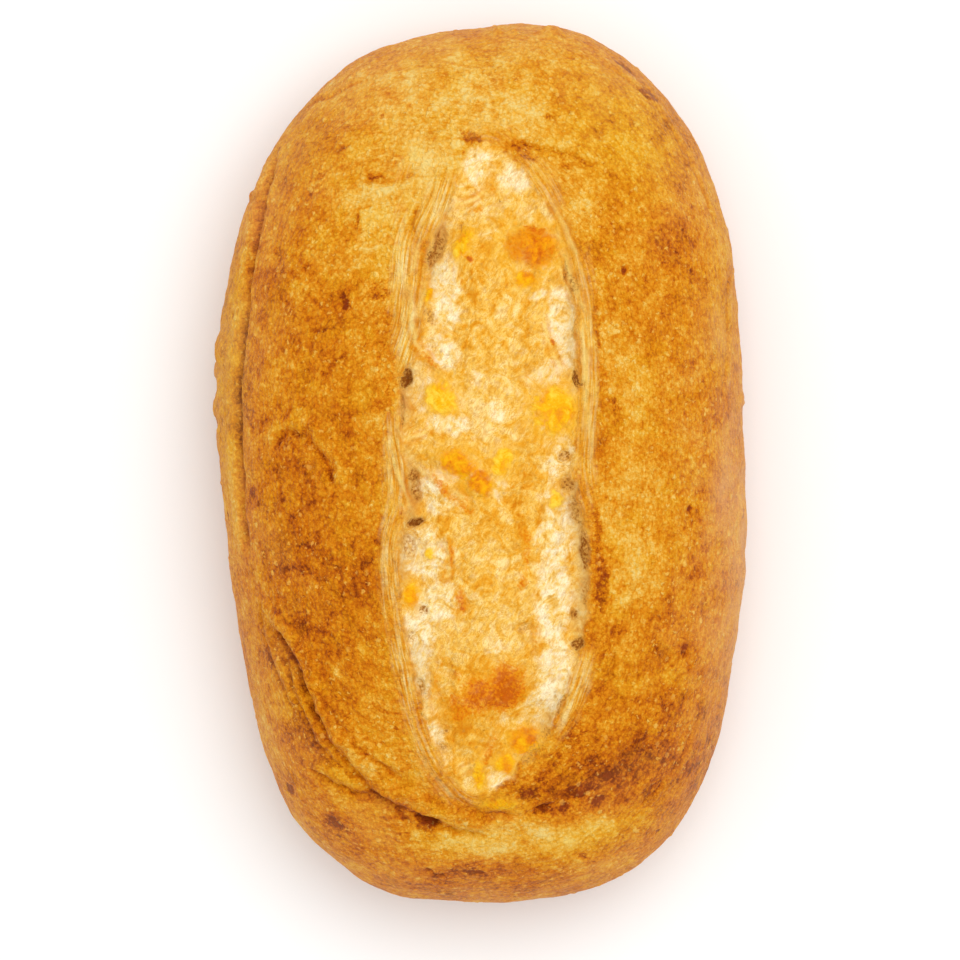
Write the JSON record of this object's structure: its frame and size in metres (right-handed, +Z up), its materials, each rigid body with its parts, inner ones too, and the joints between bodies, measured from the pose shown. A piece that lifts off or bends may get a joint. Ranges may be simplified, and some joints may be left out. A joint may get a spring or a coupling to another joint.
{
  "type": "bloomer loaf",
  "caption": "Oblong hearth loaf of baked bread, domed above a flat foot, with a long lengthwise slash opened along its top.",
  "frame": {"origin": "on the table, under the middle of the loaf's box", "axes": "+Z up out of the crust, +Y along the loaf towards the narrower end of the slash, +X across it"},
  "size_m": [0.17, 0.28, 0.092],
  "materials": {
    "crust": "matte"
  },
  "bodies": {
    "root": {"loaf": "crust"}
  },
  "joints": []
}
